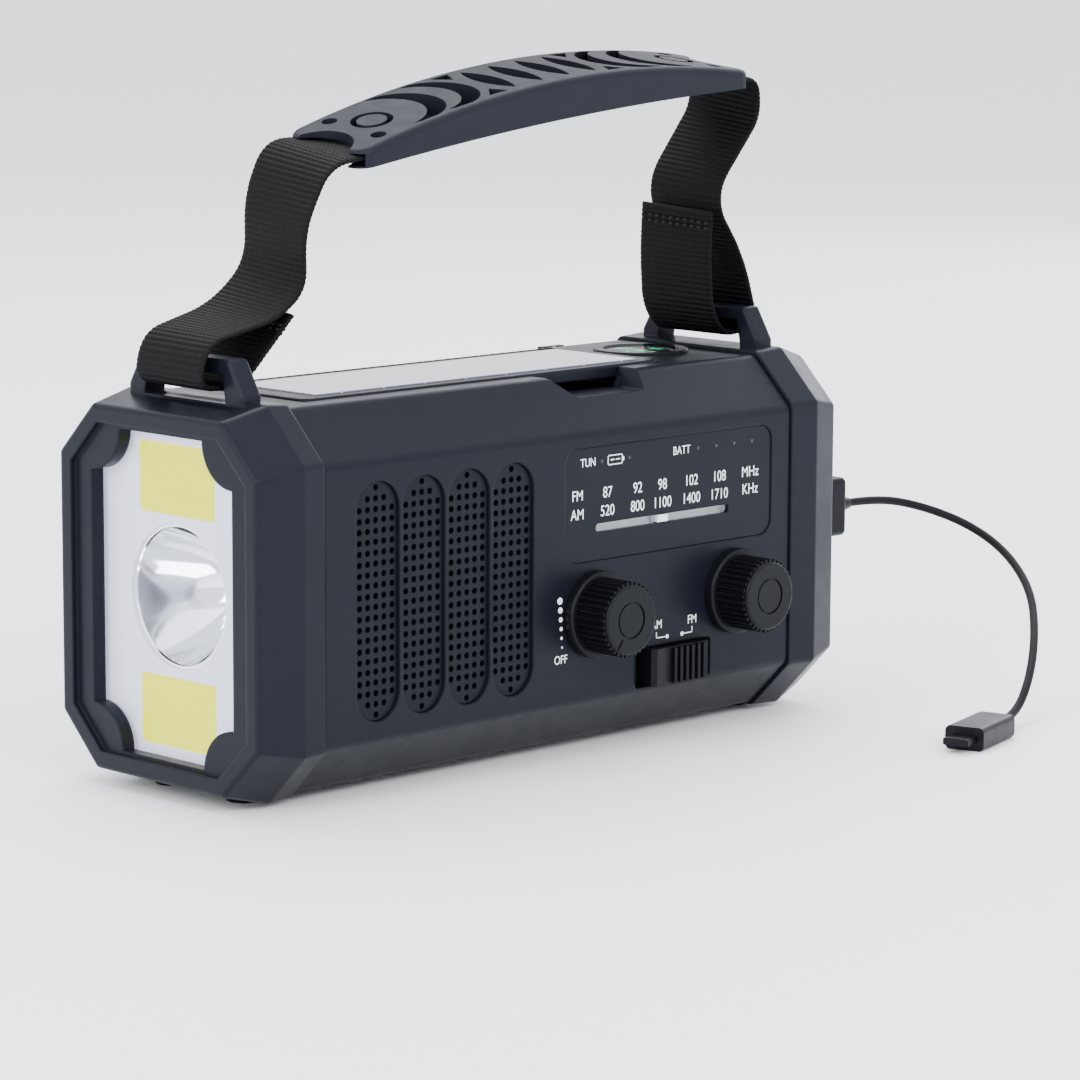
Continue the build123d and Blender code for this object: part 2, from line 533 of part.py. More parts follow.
def make_compass():
    centre = (COMPASS_X, COMPASS_Y)
    collar = rod((*centre, DECK_Z + 0.02), "Z", 0.6, 12.3)
    collar = fillet(collar.edges().group_by(Axis.Z)[-1], 0.4)
    housing = rod((*centre, 85.0), "Z", 8.2, 10.8) + collar
    housing -= rod((*centre, 86.4), "Z", 10.0, 9.8)
    housing += rod((*centre, 86.0), "Z", 6.6, 0.6)
    save("compass_housing", housing)
    card = rod((*centre, 92.2), "Z", 0.7, 9.3) - rod((*centre, 92.0), "Z", 2.0, 0.6 + SHAFT_GAP)
    save("compass_card", card)
    save("compass_lens", rod((*centre, 93.2), "Z", 0.42, 9.8))


# ---------------------------------------------------------------- inside
def make_inside():
    board = block((-6.0, -15.0, 30.0), (68.0, -13.4, 80.0))
    save("main_board", board)
    cells = [rod((-64.0, y, 15.2), "X", 65.0, 9.2) for y in (0.5, 19.3)]
    cradle = block((-66.4, -10.6, 4.0), (3.4, 31.0, 12.0)) & prism(-66.4, 3.4, inset(BODY, WALL + 0.1))
    for y in (0.5, 19.3):
        cradle -= rod((-64.3, y, 15.2), "X", 65.6, 9.3)
    save("battery_cells", Compound(children=cells))
    save("battery_tray", cradle)
    ferrite = rod((-52.0, 8.0, 76.0), "X", 92.0, 4.0)
    coil = tube((-10.0, 8.0, 76.0), "X", 18.0, 5.5, 4.05)
    save("ferrite_aerial", Compound(children=[ferrite, coil]))


# ---------------------------------------------------------------- crank and generator
CRANK_MODULE, CRANK_TEETH, IDLER_PINION_TEETH = 0.8, 50, 12
IDLER_MODULE, IDLER_TEETH, ROTOR_TEETH = 0.6, 36, 12
IDLER_X = CRANK_X + CRANK_MODULE * (CRANK_TEETH + IDLER_PINION_TEETH) / 2
ROTOR_X = IDLER_X + IDLER_MODULE * (IDLER_TEETH + ROTOR_TEETH) / 2
BUTTON_X, BUTTON_Z = (44.0, 58.0), 62.0


def make_crank():
    hub = rod((CRANK_X, REAR_Y + 0.3, CRANK_Z), "Y", CRANK_ARM_Y[0] - REAR_Y - 0.3, 11.0)
    save("crank_hub", hub + rod((CRANK_X, 27.0, CRANK_Z), "Y", 10.0, 4.0))
    wheel = gear(CRANK_TEETH, CRANK_MODULE, 2.8, 0, 4.0)
    save("crank_gear", Pos(CRANK_X, 28.0, CRANK_Z) * wheel)

    pivot_x, pivot_y, thick = CRANK_X + CRANK_RADIUS, 45.0, CRANK_ARM_Y[1] - CRANK_ARM_Y[0]
    arm = block((CRANK_X, CRANK_ARM_Y[0], CRANK_Z - 8.0), (pivot_x + 3.0, CRANK_ARM_Y[1], CRANK_Z + 8.0))
    arm = fillet(arm.edges().filter_by(Axis.Y).group_by(Axis.X)[-1], 2.5)
    arm += rod((CRANK_X, CRANK_ARM_Y[0], CRANK_Z), "Y", thick, 11.0)
    arm = fillet(arm.faces().sort_by(Axis.Y)[-1].edges(), 0.8)
    arm -= block((pivot_x - 25.0, 38.0, CRANK_Z - 4.8), (pivot_x + 4.0, 52.0, CRANK_Z + 4.8))
    arm -= rod((pivot_x, pivot_y, CRANK_Z - 9), "Z", 18, 1.0 + SHAFT_GAP)
    save("crank_arm", arm)

    knuckle = rod((pivot_x, pivot_y, CRANK_Z - 4.5), "Z", 9.0, 2.6)
    knuckle += rod((pivot_x, pivot_y, CRANK_Z - 7.6), "Z", 15.2, 1.0)
    knuckle += rod((pivot_x - 23.5, pivot_y, CRANK_Z), "X", 23.0, 1.5)
    save("crank_knuckle", knuckle)
    grip = rod((pivot_x - 24.4, pivot_y, CRANK_Z), "X", 21.2, 4.0)
    grip = fillet(grip.edges(), 1.0)
    grip -= rod((pivot_x - 23.7, pivot_y, CRANK_Z), "X", 24.0, 1.5 + SHAFT_GAP)
    save("crank_grip", grip)

    pinion = Pos(IDLER_X, 28.0, CRANK_Z) * gear(IDLER_PINION_TEETH, CRANK_MODULE, 2.8,
                                                180 + 180 / IDLER_PINION_TEETH, 1.4 + SHAFT_GAP)
    wheel = Pos(IDLER_X, 25.2, CRANK_Z) * gear(IDLER_TEETH, IDLER_MODULE, 2.4, 0, 1.4 + SHAFT_GAP)
    sleeve = tube((IDLER_X, 25.2, CRANK_Z), "Y", 5.6, 2.6, 1.4 + SHAFT_GAP)
    save("generator_idler", pinion + wheel + sleeve)
    rotor = Pos(ROTOR_X, 25.2, CRANK_Z) * gear(ROTOR_TEETH, IDLER_MODULE, 2.4, 180 + 180 / ROTOR_TEETH, 1.0)
    rotor += rod((ROTOR_X, 16.0, CRANK_Z), "Y", 11.6, 1.0)
    save("generator_pinion", rotor)
    case = rod((ROTOR_X, 9.0, CRANK_Z), "Y", 15.4, 12.0)
    case -= rod((ROTOR_X, 15.0, CRANK_Z), "Y", 10.0, 1.0 + SHAFT_GAP)
    save("generator", case)


def make_buttons():
    for node, x in zip(("lamp_button", "alarm_button"), BUTTON_X):
        button = rod((x, 33.2, BUTTON_Z), "Y", 4.6, 4.2) + rod((x, 32.6, BUTTON_Z), "Y", 1.2, 5.4)
        save(node, fillet(button.edges().group_by(Axis.Y)[-1], 0.6))


# ---------------------------------------------------------------- telescopic aerial
def make_aerial():
    x, y, z = AERIAL_X, AERIAL_Y, AERIAL_Z
    ears = block((x - 4, y - 5.2, z - 9.0), (x + 4, y - 3.3, z + 3.0))
    ears += block((x - 4, y + 3.3, z - 14.0), (x + 4, y + 5.2, z + 3.0))
    saddle = block((x - 4, y - 5.2, z - 14.0), (x + 4, y + 5.2, z - 4.0))
    foot = (ears + saddle) - prism(x - 5, x + 5, inset(BODY, -0.02)) + rod((x, y - 5.2, z), "Y", 10.4, 1.2)
    save("aerial_foot", foot)
    gap = 0.06
    outer = rod((x - AERIAL_LENGTH, y, z), "X", AERIAL_LENGTH - 5.0, 3.0)
    outer += block((x - 6.0, y - 2.0, z - 2.6), (x, y + 2.0, z + 2.6))
    outer += rod((x, y - 3.0, z), "Y", 6.0, 2.9)
    outer -= rod((x, y - 4.0, z), "Y", 8.0, 1.2 + SHAFT_GAP)
    outer -= rod((x - AERIAL_LENGTH - 1, y, z), "X", AERIAL_LENGTH - 10.0, 2.3)
    save("aerial_outer", outer)
    middle = tube((x - AERIAL_LENGTH - 1.0, y, z), "X", AERIAL_LENGTH - 11.0, 2.3 - gap, 1.6)
    save("aerial_middle", middle)
    tip = rod((x - AERIAL_LENGTH - 2.0, y, z), "X", AERIAL_LENGTH - 12.0, 1.6 - gap)
    tip += fillet(rod((x - AERIAL_LENGTH - 5.6, y, z), "X", 4.2, 2.8).edges(), 0.8)
    save("aerial_tip", tip)


# ---------------------------------------------------------------- carrying handle
def smooth_path(points):
    """Polyline in X and Z with each corner rounded as widely as its two runs allow."""
    return FilletPolyline(*points, radius=corner_radii([(x, 0, z) for x, z in points]))


def ribbon(front_points, rear_points):
    """Strap webbing between the path of its front edge and the path of its rear edge."""
    edges = []
    for points, y in ((front_points, -STRAP_WIDTH / 2), (rear_points, STRAP_WIDTH / 2)):
        outline = offset(smooth_path(points), STRAP_THICKNESS / 2, kind=Kind.ARC, side=Side.BOTH)
        edges.append(Plane.XZ.offset(-y) * make_face(outline.edges()))
    return loft(edges, ruled=True)


LEFT_FRONT_EDGE = [(-41.0, 148.4), (-55.5, 147.0), (-63.6, 132.0), (-63.2, 118.4), (-72.0, 112.0),
                   (-93.0, 107.8), (-96.0, 97.7), (-83.0, 97.2), (-67.2, 112.6)]
LEFT_REAR_EDGE = [(-41.0, 151.6), (-54.5, 151.4), (-60.6, 139.0), (-60.4, 123.0), (-72.0, 113.6),
                  (-92.0, 108.4), (-95.0, 97.7), (-83.0, 97.2), (-66.4, 113.8)]
RIGHT_FRONT_EDGE = [(83.0, 161.7), (92.4, 162.4), (93.0, 152.6), (75.6, 132.6), (87.4, 117.0),
                    (93.4, 98.2), (80.6, 97.2), (75.8, 104.0), (74.8, 117.0), (75.3, 129.0)]
RIGHT_REAR_EDGE = [(83.0, 165.2), (92.6, 165.9), (93.4, 155.4), (75.8, 134.0), (87.4, 117.0),
                   (93.4, 98.2), (80.6, 97.2), (75.8, 104.0), (74.8, 117.0), (75.5, 130.4)]


def grip_crescent(x, side):
    """Crescent slot whose horns point to the near end of the grip, a little ahead of the centre line."""
    return Pos(x, 0) * Circle(11.6) - Pos(x - side * 5.4, 0.8) * Circle(11.4)


def make_handle():
    half = GRIP_LENGTH / 2
    top = ThreePointArc((-half, 4.2), (0, 12.0), (half, 4.2))
    base = ThreePointArc((half, 0.0), (0, 2.2), (-half, 0.0))
    outline = make_face(top + Line((half, 4.2), (half, 0.0)) + base + Line((-half, 0.0), (-half, 4.2)))
    bar = front_plate(outline, -GRIP_WIDTH / 2, GRIP_WIDTH / 2)
    plan = RectangleRounded(GRIP_LENGTH, GRIP_WIDTH, 4.5)
    for side in (-1, 1):
        plan -= Pos(side * (half + 2.6), 0) * Circle(9.4)
    bar = bar & extrude(Plane.XY.offset(-5) * plan, amount=30)
    upper = bar.edges().filter_by(lambda e: e.center().Z > 3.6 and abs(e.center().Y) > 10)
    bar = fillet(upper, 1.8)

    slots = Sketch()
    for side in (-1, 1):
        slots += [Pos(side * 58.4, y) * Circle(1.9) for y in (-8.6, 8.6)]
        slots += Pos(side * 52.6, 0) * (Circle(5.2) - Circle(3.7))
        for x in (44.0, 32.6):
            slots += grip_crescent(side * x, -side)
        for y in (-1, 1):
            corners = [(side * 17.6, y * 10.6), (side * 23.6, y * 10.6), (side * 19.8, y * 6.2)]
            slots += make_face(Polyline(*corners, close=True))
    for x in (-14.0, -4.7, 4.7, 14.0):
        slots += Pos(x, 0) * (Pos(-15.1, 0) * Circle(18.0) & Pos(15.1, 0) * Circle(18.0))
    clip = Rectangle(GRIP_LENGTH, GRIP_WIDTH - 4.4)
    slots = slots & clip
    floor_arc = ThreePointArc((-half, 0.9), (0, 6.6), (half, 0.9))
    above = make_face(floor_arc + Polyline((half, 0.9), (half, 30), (-half, 30), (-half, 0.9)))
    cutter = extrude(Plane.XY.offset(-5) * slots, amount=30) & front_plate(above, -20, 20)
    bar -= cutter
    for side in (-1, 1):
        ends = sorted((side * (half - 9.0), side * (half + 2.0)))
        bar -= block((ends[0], -12.8, 0.5), (ends[1], 12.8, 3.6))
    place = Pos(*GRIP_CENTRE) * Rot(0, -GRIP_TILT, 0) * Rot(GRIP_ROLL, 0, 0)
    save("handle_grip", place * Pos(0, 0, -1.4) * bar)
    save("strap_left", ribbon(LEFT_FRONT_EDGE, LEFT_REAR_EDGE))
    save("strap_right", ribbon(RIGHT_FRONT_EDGE, RIGHT_REAR_EDGE))


# ---------------------------------------------------------------- charging cable
CABLE_ROUTE = [
    (125.6, -16.0, 49.0), (137.0, -16.0, 49.0), (150.0, -19.0, 46.5), (159.5, -29.0, 41.6),
    (160.0, -42.5, 35.4), (153.0, -57.0, 27.4), (139.5, -69.5, 18.8), (125.0, -79.5, 10.2),
    (113.5, -84.2, 3.0), (104.4, -86.9, 3.0),
]


def corner_radii(points):
    """Each arc is as large as its two runs allow."""
    radii = []
    for before, at, after in zip(points, points[1:], points[2:]):
        run_in, run_out = Vector(*at) - Vector(*before), Vector(*after) - Vector(*at)
        half_turn = math.radians(run_in.get_angle(run_out)) / 2
        radii.append(0.45 * min(run_in.length, run_out.length) / math.tan(half_turn))
    return radii


def make_cable():
    radii = corner_radii(CABLE_ROUTE)
    print("cable arc radii", [round(radius, 1) for radius in radii])
    path = FilletPolyline(*CABLE_ROUTE, radius=radii)
    start = Plane(origin=path @ 0, z_dir=path % 0)
    cable = sweep(start * Circle(CABLE_DIAMETER / 2), path=path)
    expected = math.pi * CABLE_DIAMETER ** 2 / 4 * path.length
    print("cable length", round(path.length, 1), "volume ratio", round(cable.volume / expected, 4))
    save("usb_cable", cable)

    x, y, z = LENGTH / 2 - 0.9, USB_Y, USB_Z
    overmold = block((x, y - 4.0, z - 7.8), (x + 23.0, y + 4.0, z + 7.8))
    overmold = fillet(overmold.edges().filter_by(Axis.X), 1.6)
    overmold = fillet(overmold.faces().sort_by(Axis.X)[-1].edges(), 1.5)
    relief_end = CABLE_ROUTE[0][0]
    relief = Pos(x + 22.9, y, z) * Rot(0, 90, 0) * Cone(2.4, 1.5, relief_end - x - 22.9,
                                                       align=(Align.CENTER, Align.CENTER, Align.MIN))
    shell = block((83.5, y - 2.25, z - 6.0), (x + 0.1, y + 2.25, z + 6.0))
    shell -= block((83.0, y - 1.75, z - 5.6), (x - 2.0, y + 1.75, z + 5.6))
    save("usb_plug", overmold + relief + shell)

    end, before = Vector(*CABLE_ROUTE[-1]), Vector(*CABLE_ROUTE[-2])
    heading = (end - before).normalized()
    frame = Plane(origin=end, x_dir=(0, 0, 1), z_dir=heading)
    body = extrude(frame.offset(3.5) * RectangleRounded(6.0, 10.4, 1.4), amount=20.0)
    neck = extrude(frame * Circle(1.5), amount=3.6, taper=-12)
    metal = extrude(frame.offset(23.4) * RectangleRounded(1.8, 6.8, 0.4), amount=5.6)
    save("phone_plug", body + neck + metal)


make_shells()
make_screws()
make_feet()
make_lamp_cap()
make_port_cap()
make_port_cover()
make_sockets()
make_lamps()
make_grille()
make_speaker()
make_dial()
make_knobs()
make_tuning_drive()
make_band_switch()
make_lid()
make_compass()
make_inside()
make_crank()
make_buttons()
make_aerial()
make_handle()
make_cable()
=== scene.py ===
import math
import bpy
import bmesh
from mathutils import Vector, Matrix


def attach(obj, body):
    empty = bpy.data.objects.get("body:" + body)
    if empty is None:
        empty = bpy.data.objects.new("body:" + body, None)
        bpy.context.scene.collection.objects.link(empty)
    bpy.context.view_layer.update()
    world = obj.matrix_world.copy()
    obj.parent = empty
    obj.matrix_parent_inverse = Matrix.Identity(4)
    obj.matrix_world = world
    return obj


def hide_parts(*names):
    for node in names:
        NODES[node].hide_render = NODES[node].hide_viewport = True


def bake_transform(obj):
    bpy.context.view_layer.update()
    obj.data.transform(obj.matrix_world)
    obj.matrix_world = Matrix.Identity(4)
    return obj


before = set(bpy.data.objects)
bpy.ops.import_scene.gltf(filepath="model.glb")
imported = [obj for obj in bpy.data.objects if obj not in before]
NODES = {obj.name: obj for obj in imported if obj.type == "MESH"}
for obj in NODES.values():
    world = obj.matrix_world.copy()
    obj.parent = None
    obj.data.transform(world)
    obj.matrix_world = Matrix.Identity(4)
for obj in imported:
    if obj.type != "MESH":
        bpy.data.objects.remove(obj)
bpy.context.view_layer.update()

MM = 0.001

# Places shared with the CAD, in millimetres
FRONT_Y, DIAL_Y = -36.5, -36.15
COMPASS, COMPASS_PRINT_Z = (65.3, 3.0), 92.93
LAMP_Z, REFLECTOR_MOUTH_X = 47.6, -91.1
STRAP_WIDTH, STRAP_THICKNESS = 25.0, 1.5
CABLE_DIAMETER = 2.2


# ------------------------------------------------------------------ small helpers
def mm(*values):
    return Vector(values) * MM


def link(obj):
    bpy.context.scene.collection.objects.link(obj)
    return obj


def mesh_piece(name, vertices, faces, material, body, smooth=False):
    """A new object in millimetres that rides on a body and wears the material it is given."""
    mesh = bpy.data.meshes.new(name)
    mesh.from_pydata([Vector(v) * MM for v in vertices], [], faces)
    mesh.validate()
    bm = bmesh.new()
    bm.from_mesh(mesh)
    bmesh.ops.recalc_face_normals(bm, faces=bm.faces)
    bm.to_mesh(mesh)
    bm.free()
    mesh.polygons.foreach_set("use_smooth", [smooth] * len(mesh.polygons))
    mesh.materials.append(material)
    obj = link(bpy.data.objects.new(name, mesh))
    if body:
        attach(obj, body)
    return obj


def box_mesh(low, high, vertices, faces):
    """Adds a box to growing lists of vertices and faces."""
    start = len(vertices)
    for x in (low[0], high[0]):
        for y in (low[1], high[1]):
            for z in (low[2], high[2]):
                vertices.append((x, y, z))
    for quad in ((0, 1, 3, 2), (4, 6, 7, 5), (0, 4, 5, 1), (2, 3, 7, 6), (0, 2, 6, 4), (1, 5, 7, 3)):
        faces.append(tuple(start + i for i in quad))


def disc_mesh(centre, radius, depth, vertices, faces, sides=24):
    """Adds a short cylinder along Y to growing lists of vertices and faces."""
    start = len(vertices)
    for level in (0, depth):
        for i in range(sides):
            a = 2 * math.pi * i / sides
            offset = (radius * math.cos(a), level, radius * math.sin(a))
            vertices.append(tuple(c + o for c, o in zip(centre, offset)))
    faces.append(tuple(range(start, start + sides)))
    faces.append(tuple(range(start + sides, start + 2 * sides)))
    for i in range(sides):
        j = (i + 1) % sides
        faces.append((start + i, start + j, start + sides + j, start + sides + i))


# ------------------------------------------------------------------ materials
def new_material(name):
    material = bpy.data.materials.new(name)
    material.use_nodes = True
    tree = material.node_tree
    return material, tree, tree.nodes["Principled BSDF"]


def object_coordinates(tree):
    return tree.nodes.new("ShaderNodeTexCoord").outputs["Object"]


def noise(tree, coordinates, scale, detail=4.0, roughness=0.55):
    node = tree.nodes.new("ShaderNodeTexNoise")
    node.inputs["Scale"].default_value = scale
    node.inputs["Detail"].default_value = detail
    node.inputs["Roughness"].default_value = roughness
    tree.links.new(coordinates, node.inputs["Vector"])
    return node.outputs["Fac"]


def remap(tree, value, low, high, out_low, out_high):
    node = tree.nodes.new("ShaderNodeMapRange")
    for key, number in zip(("From Min", "From Max", "To Min", "To Max"), (low, high, out_low, out_high)):
        node.inputs[key].default_value = number
    tree.links.new(value, node.inputs["Value"])
    return node.outputs["Result"]


def bump(tree, height, shader, strength, distance, edge_radius=0.0):
    node = tree.nodes.new("ShaderNodeBump")
    node.inputs["Strength"].default_value = strength
    node.inputs["Distance"].default_value = distance
    tree.links.new(height, node.inputs["Height"])
    if edge_radius:
        rounded = tree.nodes.new("ShaderNodeBevel")
        rounded.samples = 4
        rounded.inputs["Radius"].default_value = edge_radius
        tree.links.new(rounded.outputs["Normal"], node.inputs["Normal"])
    tree.links.new(node.outputs["Normal"], shader.inputs["Normal"])


def mix_colour(tree, factor, first, second):
    node = tree.nodes.new("ShaderNodeMix")
    node.data_type = "RGBA"
    node.inputs["A"].default_value = (*first, 1)
    node.inputs["B"].default_value = (*second, 1)
    tree.links.new(factor, node.inputs["Factor"])
    return node.outputs["Result"]


def moulded(name, colour, roughness, grain=9000.0, grain_strength=0.25, specular=0.12,
            edge_radius=0.0):
    """Moulded plastic or rubber: slightly uneven colour and gloss over a fine spark-eroded grain."""
    material, tree, shader = new_material(name)
    where = object_coordinates(tree)
    patches = noise(tree, where, 60.0, 5.0)
    lighter = tuple(min(1.0, c * 1.12 + 0.001) for c in colour)
    darker = tuple(c * 0.9 for c in colour)
    tree.links.new(mix_colour(tree, patches, darker, lighter), shader.inputs["Base Color"])
    gloss = remap(tree, noise(tree, where, 220.0), 0.3, 0.7, roughness - 0.04, roughness + 0.05)
    tree.links.new(gloss, shader.inputs["Roughness"])
    bump(tree, noise(tree, where, grain, 2.0), shader, grain_strength, 0.00002, edge_radius)
    shader.inputs["Specular IOR Level"].default_value = specular
    shader.inputs["Specular Tint"].default_value = (0.86, 0.90, 1.0, 1)
    return material


def glowing(name, colour, strength, grid=0.0, body_colour=0.6):
    """Lit lamp surface, with the faint dots of its emitters where a grid is given; also used for print given a
    painted glow.
    """
    material, tree, shader = new_material(name)
    shader.inputs["Base Color"].default_value = (*(c * body_colour for c in colour), 1)
    shader.inputs["Roughness"].default_value = 0.35
    shader.inputs["Specular IOR Level"].default_value = 0.2
    shader.inputs["Emission Color"].default_value = (*colour, 1)
    shader.inputs["Emission Strength"].default_value = strength
    if grid:
        where = object_coordinates(tree)
        cells = tree.nodes.new("ShaderNodeTexVoronoi")
        cells.inputs["Scale"].default_value = grid
        cells.inputs["Randomness"].default_value = 0.15
        tree.links.new(where, cells.inputs["Vector"])
        level = remap(tree, cells.outputs["Distance"], 0.1, 0.6, strength * 1.08, strength * 0.9)
        tree.links.new(level, shader.inputs["Emission Strength"])
    return material


def clear_sheet(name, edge_gloss):
    """Thin clear moulding: mostly see-through, with a gloss that shows the studio."""
    material, tree, shader = new_material(name)
    output = tree.nodes["Material Output"]
    see_through = tree.nodes.new("ShaderNodeBsdfTransparent")
    see_through.inputs["Color"].default_value = (0.97, 0.98, 1.0, 1)
    gloss = tree.nodes.new("ShaderNodeBsdfGlossy")
    gloss.inputs["Roughness"].default_value = 0.03
    facing = tree.nodes.new("ShaderNodeLayerWeight")
    facing.inputs["Blend"].default_value = 0.12
    mix = tree.nodes.new("ShaderNodeMixShader")
    tree.links.new(remap(tree, facing.outputs["Fresnel"], 0.0, 1.0, 0.008, edge_gloss), mix.inputs["Fac"])
    tree.links.new(see_through.outputs["BSDF"], mix.inputs[1])
    tree.links.new(gloss.outputs["BSDF"], mix.inputs[2])
    tree.links.new(mix.outputs["Shader"], output.inputs["Surface"])
    return material


def solar_material():
    """Dark cells divided by fine silver fingers, under clear glossy resin."""
    material, tree, shader = new_material("solar_cells")
    where = object_coordinates(tree)
    split = tree.nodes.new("ShaderNodeSeparateXYZ")
    tree.links.new(where, split.inputs["Vector"])
    lines = None
    for axis, pitch, width in (("X", 0.0135, 0.03), ("Y", 0.0022, 0.05)):
        scaled = tree.nodes.new("ShaderNodeMath")
        scaled.operation = "MULTIPLY"
        scaled.inputs[1].default_value = 1 / pitch
        tree.links.new(split.outputs[axis], scaled.inputs[0])
        part = tree.nodes.new("ShaderNodeMath")
        part.operation = "FRACT"
        tree.links.new(scaled.outputs[0], part.inputs[0])
        line = tree.nodes.new("ShaderNodeMath")
        line.operation = "LESS_THAN"
        line.inputs[1].default_value = width
        tree.links.new(part.outputs[0], line.inputs[0])
        if lines is None:
            lines = line.outputs[0]
        else:
            both = tree.nodes.new("ShaderNodeMath")
            both.operation = "MAXIMUM"
            tree.links.new(lines, both.inputs[0])
            tree.links.new(line.outputs[0], both.inputs[1])
            lines = both.outputs[0]
    colour = mix_colour(tree, lines, (0.035, 0.04, 0.085), (0.40, 0.41, 0.46))
    tree.links.new(colour, shader.inputs["Base Color"])
    shader.inputs["Roughness"].default_value = 0.12
    shader.inputs["Coat Weight"].default_value = 1.0
    shader.inputs["Coat Roughness"].default_value = 0.04
    return material


def webbing_material():
    """Woven polypropylene: fine threads along the strap and an uneven sheen."""
    material, tree, shader = new_material("woven_webbing")
    where = object_coordinates(tree)
    fibres = noise(tree, where, 2600.0, 3.0, 0.7)
    colour = mix_colour(tree, fibres, (0.0005, 0.0005, 0.0007), (0.0030, 0.0031, 0.0042))
    tree.links.new(colour, shader.inputs["Base Color"])
    shader.inputs["Roughness"].default_value = 0.62
    shader.inputs["Specular IOR Level"].default_value = 0.10
    bump(tree, fibres, shader, 0.7, 0.0002)
    return material


def metal(name, colour, roughness):
    material, tree, shader = new_material(name)
    where = object_coordinates(tree)
    shader.inputs["Base Color"].default_value = (*colour, 1)
    shader.inputs["Metallic"].default_value = 1.0
    smudges = remap(tree, noise(tree, where, 180.0), 0.3, 0.7, roughness * 0.7, roughness * 1.4)
    tree.links.new(smudges, shader.inputs["Roughness"])
    return material


SHELL = moulded("charcoal_shell", (0.0044, 0.0051, 0.0088), 0.36, edge_radius=0.0008)
CAPS = moulded("charcoal_cap", (0.0046, 0.0054, 0.0092), 0.33, edge_radius=0.0010)
BLACK = moulded("black_moulding", (0.0030, 0.0033, 0.0045), 0.34)
DIAL = moulded("dial_face", (0.0044, 0.0051, 0.0082), 0.30, grain_strength=0.1)
GRILLE = moulded("grille_plate", (0.0034, 0.0040, 0.0068), 0.42)
RUBBER = moulded("rubber", (0.0040, 0.0040, 0.0046), 0.55, grain=5000.0, grain_strength=0.4)
GRIP = moulded("slate_rubber", (0.0070, 0.0078, 0.0120), 0.50, grain=7000.0, grain_strength=0.35)
INNER = moulded("inner_plastic", (0.05, 0.05, 0.055), 0.5)
GEARS = moulded("acetal", (0.72, 0.71, 0.66), 0.4)
WHITE = moulded("white_plastic", (0.80, 0.80, 0.84), 0.35)
BOARD = moulded("circuit_board", (0.02, 0.16, 0.07), 0.4)
CELL = moulded("cell_sleeve", (0.03, 0.12, 0.35), 0.3)
STEEL = metal("steel", (0.56, 0.57, 0.6), 0.28)
CHROME = metal("chrome", (0.82, 0.83, 0.86), 0.10)
MIRROR = metal("reflector_metal", (0.92, 0.93, 0.95), 0.07)
BRASS = metal("brass", (0.78, 0.58, 0.25), 0.25)
LENS = clear_sheet("clear_lens", 0.55)
COMPASS_GLASS = clear_sheet("compass_glass", 0.12)
COB = glowing("cob_phosphor", (1.0, 0.99, 0.0), 2.0, grid=700.0, body_colour=0.1)
PANEL = glowing("panel_white", (0.84, 0.84, 0.97), 0.75)
DIFFUSER = moulded("reading_lamp_diffuser", (0.10, 0.10, 0.11), 0.5)
SPOT = moulded("spot_led", (0.70, 0.68, 0.52), 0.35)
PRINT = moulded("white_print", (0.78, 0.79, 0.82), 0.5)
# Green compass print with emission: a painted glow, since the print is no lamp.
GLOWING_GREEN_PRINT = glowing("green_print_painted_glow", (0.02, 0.80, 0.20), 0.9)
SOLAR = solar_material()
WEBBING = webbing_material()
THREAD = moulded("sewing_thread", (0.010, 0.010, 0.012), 0.6)

FINISHES = {
    SHELL: "front_shell rear_shell lid_tray solar_lid",
    CAPS: "lamp_cap port_cap",
    BLACK: "compass_housing aerial_foot usb_plug phone_plug volume_knob tuning_knob band_switch_cap crank_hub"
           " crank_arm crank_grip compass_card",
    DIAL: "dial_plate",
    GRILLE: "speaker_grille",
    RUBBER: "feet lamp_button alarm_button port_cover",
    GRIP: "handle_grip",
    INNER: "speaker volume_control tuning_capacitor band_switch_body battery_tray ferrite_aerial",
    GEARS: "tuning_pinion idler_gear_right idler_gear_left capacitor_gear crank_gear generator_idler",
    WHITE: "pointer_carriage dial_strip",
    BOARD: "main_board",
    CELL: "battery_cells",
    STEEL: "screws usb_socket hinge_pin generator crank_knuckle",
    CHROME: "aerial_outer aerial_middle aerial_tip",
    MIRROR: "reflector",
    BRASS: "generator_pinion",
    LENS: "lamp_lens",
    COMPASS_GLASS: "compass_lens",
    COB: "cob_lamps",
    PANEL: "lamp_panel",
    DIFFUSER: "reading_lamp",
    SPOT: "spot_led",
    SOLAR: "solar_cell",
    WEBBING: "strap_left strap_right",
}
for finish, names in FINISHES.items():
    for node in names.split():
        mesh = NODES[node].data
        mesh.materials.clear()
        mesh.materials.append(finish)


# ------------------------------------------------------------------ printed markings
def label(name, text, x, z, height, y=DIAL_Y, material=PRINT, body="radio"):
    """Raised print facing the front, centred on x and z. Height is that of the capitals."""
    curve = bpy.data.curves.new(name, "FONT")
    curve.body = text
    curve.size = height / 0.70 * MM
    curve.extrude = 0.02 * MM
    curve.align_x, curve.align_y = "CENTER", "CENTER"
    curve.materials.append(material)
    obj = link(bpy.data.objects.new(name, curve))
    obj.location = mm(x, y - 0.03, z)
    obj.rotation_euler = (math.radians(90), 0, 0)
    obj.scale = (0.86, 1.0, 1.0)
    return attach(obj, body)


def printed(name, boxes, discs, y=DIAL_Y, material=PRINT):
    """Printed lines and dots on a front surface: boxes as (x0, z0, x1, z1) and discs as (x, z, radius)."""
    vertices, faces = [], []
    for x0, z0, x1, z1 in boxes:
        box_mesh((x0, y - 0.05, z0), (x1, y + 0.02, z1), vertices, faces)
    for x, z, radius in discs:
        disc_mesh((x, y - 0.05, z), radius, 0.07, vertices, faces)
    return mesh_piece(name, vertices, faces, material, "radio")


